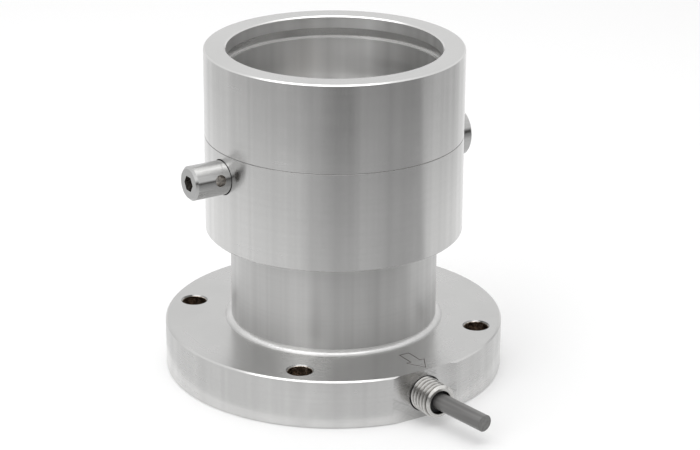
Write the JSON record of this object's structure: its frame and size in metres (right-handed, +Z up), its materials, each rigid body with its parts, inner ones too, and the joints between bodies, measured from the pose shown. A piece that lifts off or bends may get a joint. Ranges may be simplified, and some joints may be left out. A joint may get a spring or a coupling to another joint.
{
  "type": "weighing load cell",
  "caption": "Flange-mounted force sensor with a bearing seat in its round head, a cross pin, an inner sensing beam and a side cable nipple.",
  "frame": {"origin": "centre of the flange's underside, which is the mounting face", "axes": "+Z up along the bearing seat, -Y toward the cable nipple and along the measured force, +X toward the head of the cross pin"},
  "size_m": [0.12, 0.148, 0.117],
  "materials": {
    "turned_steel": "fine turned stainless steel",
    "weld_steel": "rippled weld bead, brushed bright",
    "pin_steel": "ground steel pin",
    "nipple_steel": "bright machined thread",
    "beam_steel": "fine milled steel",
    "screw_steel": "plain steel screws",
    "bush_bronze": "turned bronze",
    "crimp_copper": "crimped copper",
    "gauge_foil": "amber backed foil",
    "coating_rubber": "soft cast sealing compound",
    "lead_plastic": "thin insulated leads",
    "core_plastic": "insulated cores",
    "board_laminate": "lacquered glass laminate",
    "resistor_body": "small moulded resistors",
    "cable_jacket": "smooth grey jacket",
    "black_rubber": "black moulded rubber"
  },
  "bodies": {
    "root": {"base_flange": "turned_steel", "neck_tube": "turned_steel", "neck_weld": "weld_steel", "pin_sleeve": "turned_steel", "bearing_ring": "turned_steel", "clevis_pin": "pin_steel", "pin_bush_left": "bush_bronze", "pin_bush_right": "bush_bronze", "pin_spacer_left": "beam_steel", "pin_spacer_right": "beam_steel", "sensing_beam": "beam_steel", "beam_screws": "screw_steel", "strain_gauges": "gauge_foil", "gauge_coating": "coating_rubber", "gauge_leads": "lead_plastic", "terminal_board": "board_laminate", "board_standoffs": "screw_steel", "board_screws": "screw_steel", "trim_resistors": "resistor_body", "cable_nipple": "nipple_steel", "cable_seal": "black_rubber", "nipple_seal": "black_rubber", "cable_ferrule": "crimp_copper", "cable_cores": "core_plastic", "cable": "cable_jacket", "bottom_cover": "turned_steel", "cover_seal": "black_rubber", "cover_screws": "screw_steel"}
  },
  "joints": []
}
